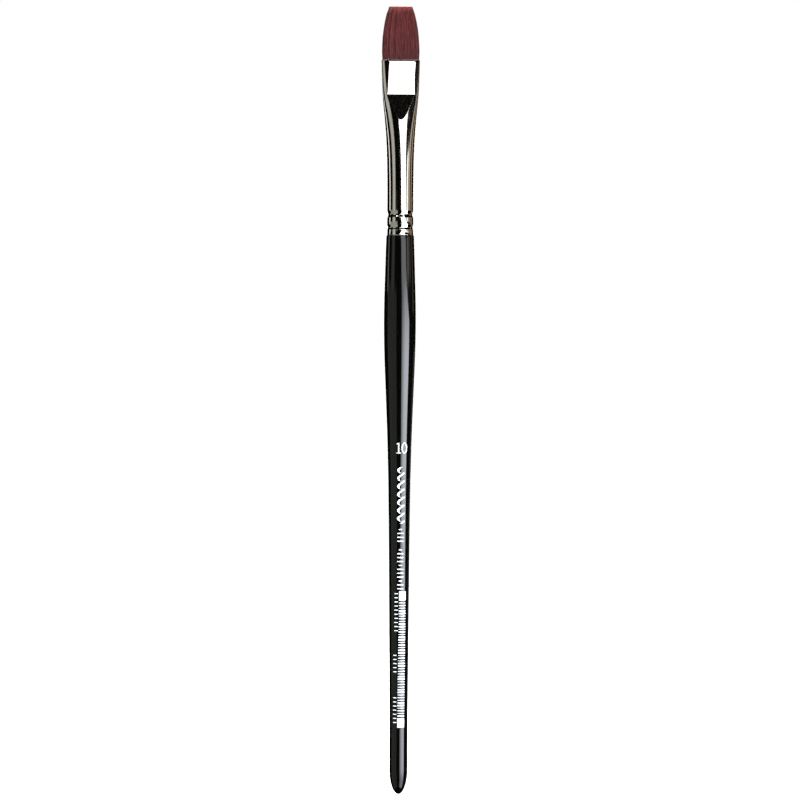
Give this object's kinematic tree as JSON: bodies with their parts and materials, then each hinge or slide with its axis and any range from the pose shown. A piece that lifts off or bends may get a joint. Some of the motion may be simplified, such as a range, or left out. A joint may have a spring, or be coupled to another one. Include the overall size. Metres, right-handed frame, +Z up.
{
  "type": "artist's flat paint brush",
  "caption": "Long-handled flat artist's brush: square-topped synthetic tuft in a pressed, crimped metal ferrule on a lacquered wooden handle.",
  "frame": {"origin": "tail tip of the handle, on the brush's axis", "axes": "+Z up along the brush from the tail tip to the tuft, X across the width of the flat tuft, the two flat faces looking along -Y and +Y"},
  "size_m": [0.014, 0.0118, 0.288],
  "materials": {
    "lacquered_wood": "black gloss lacquer over turned hardwood",
    "nickel_plate": "polished nickel plate over drawn brass",
    "adhesive": "set clear adhesive",
    "resin": "set amber resin",
    "filament": "burgundy synthetic filament, satin"
  },
  "bodies": {
    "root": {"handle": "lacquered_wood", "ferrule": "nickel_plate", "tenon_glue": "adhesive", "resin_plug": "resin", "tuft_root": "filament"},
    "tuft": {"tuft": "filament"}
  },
  "joints": [
    {"name": "tuft_flex", "type": "hinge", "parent": "root", "child": "tuft", "pos_m": [0, 0, 0.27], "axis": [1, 0, 0], "range_deg": [-35, 35], "stiffness_Nm_per_rad": 0.015}
  ]
}
